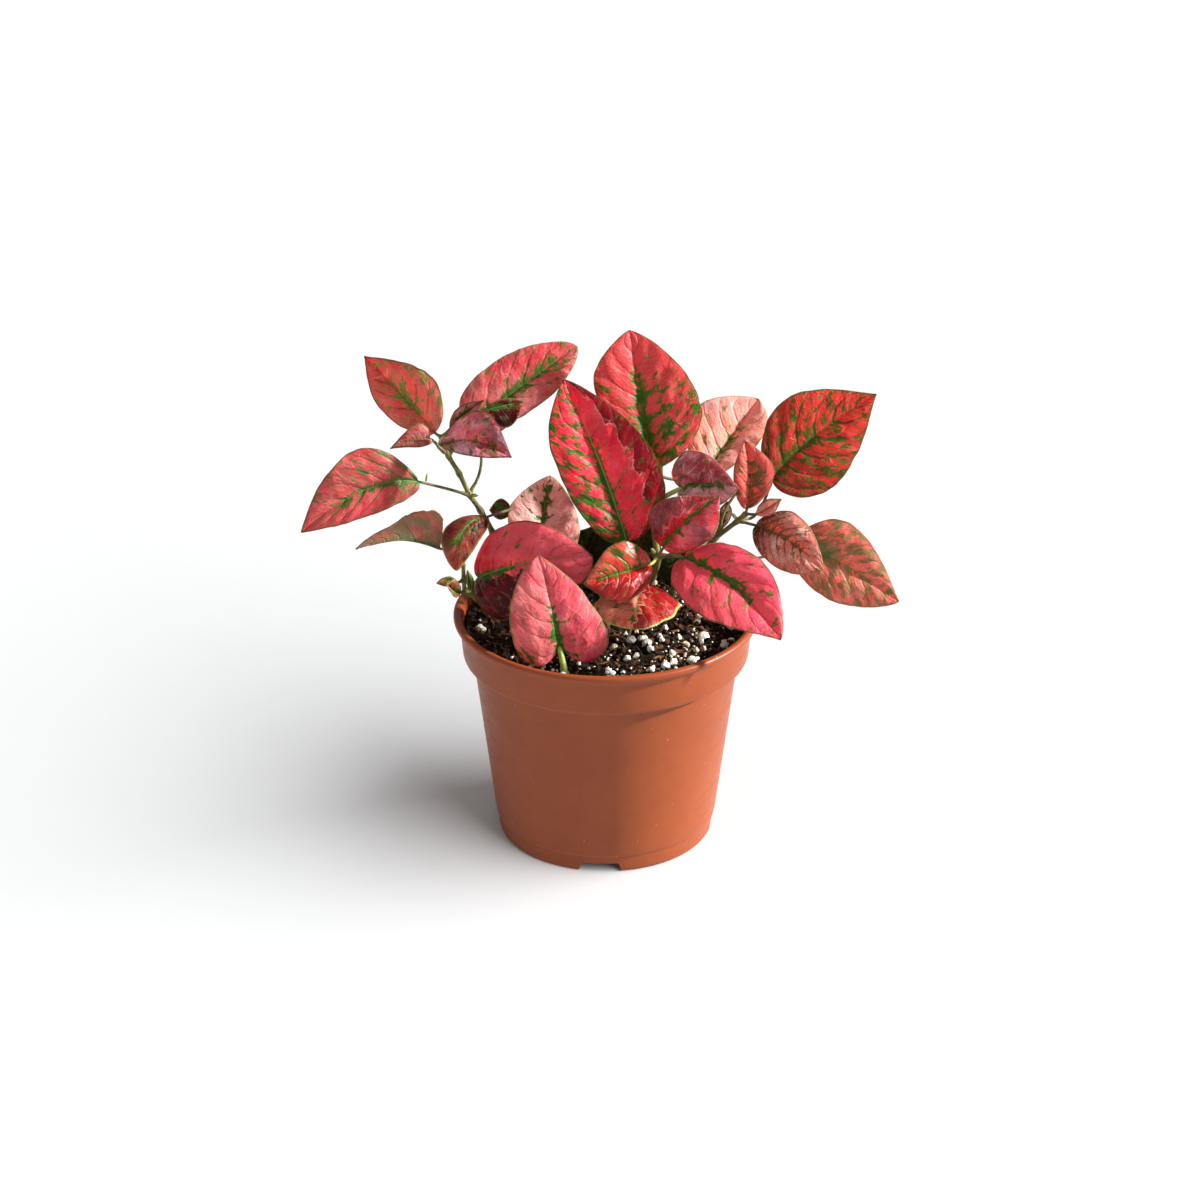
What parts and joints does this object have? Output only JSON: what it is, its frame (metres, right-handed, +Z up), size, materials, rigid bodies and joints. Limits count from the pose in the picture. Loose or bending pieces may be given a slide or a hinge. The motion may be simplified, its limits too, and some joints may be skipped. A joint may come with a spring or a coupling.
{
  "type": "potted polka dot plant",
  "caption": "Small potted polka dot plant: pink-red leaves with green mottling on slim stems, in a round tapered terracotta-coloured plastic nursery pot of soil.",
  "frame": {"origin": "centre of the pot's foot, on the plane it rests on", "axes": "+Z up; +X along the widest spread of the leaves, towards the plant's right as it is faced; -Y is the side the plant faces"},
  "size_m": [0.2034, 0.105, 0.1742],
  "materials": {
    "pot_plastic": "moulded terracotta-coloured plastic, slightly satin",
    "potting_mix": "dark moist peat with fibres, matt",
    "perlite": "white crumbly grain, matt",
    "stem_skin": "olive-green soft stem",
    "bud_skin": "yellow-green young growth",
    "leaf_red": "red blade with green mottling, satin",
    "leaf_pink": "pink blade with sparse green, satin",
    "leaf_pale": "pale salmon blade with green spots, satin",
    "leaf_maroon": "dark maroon young blade, satin sheen"
  },
  "bodies": {
    "root": {"pot": "pot_plastic", "soil": "potting_mix", "stem_left": "stem_skin", "stem_lower_left": "stem_skin", "stem_middle_left": "stem_skin", "stem_centre": "stem_skin", "stem_right": "stem_skin", "leaf_left_top": "leaf_red", "leaf_left_back": "leaf_pink", "leaf_left_young_upright": "leaf_maroon", "leaf_left_young_front": "leaf_maroon", "leaf_left_low_outer": "leaf_red", "leaf_left_small": "leaf_maroon", "leaf_left_young_dark": "leaf_maroon", "leaf_lower_left_folded": "leaf_maroon", "leaf_lower_left_curled": "leaf_red", "leaf_lower_left_small": "leaf_maroon", "leaflet_rim_left_thin": "leaf_red", "leaflet_rim_left_cupped": "leaf_red", "bract_rim_left": "bud_skin", "leaf_front_left_large": "leaf_pink", "leaf_pale_mid_left": "leaf_pale", "leaf_front_heart": "leaf_pink", "leaf_centre_tall": "leaf_red", "leaf_back_tall": "leaf_red", "leaf_maroon_folded": "leaf_maroon", "leaf_salmon_back": "leaf_pale", "leaf_red_cupped": "leaf_red", "leaf_centre_small": "leaf_red", "leaf_centre_low": "leaf_red", "leaf_front_right_large": "leaf_red", "leaf_right_top": "leaf_red", "leaf_right_folded": "leaf_red", "leaf_right_pleated": "leaf_red", "leaf_right_low_outer": "leaf_red", "leaf_right_young": "leaf_pale", "leaf_right_sliver": "leaf_pale", "leaf_rear_centre": "leaf_red", "leaf_rear_upper": "leaf_red", "leaf_rear_right_low": "leaf_red", "leaf_rear_left_low": "leaf_red", "leaf_rear_right": "leaf_red", "leaf_rear_left": "leaf_red", "bud_left_outer": "bud_skin", "bud_left_inner": "bud_skin", "bud_centre": "bud_skin", "stub_right": "bud_skin", "stub_left_stalk": "stem_skin", "perlite_a": "perlite", "perlite_b": "perlite", "perlite_c": "perlite", "perlite_d": "perlite", "perlite_e": "perlite", "perlite_f": "perlite"}
  },
  "joints": []
}
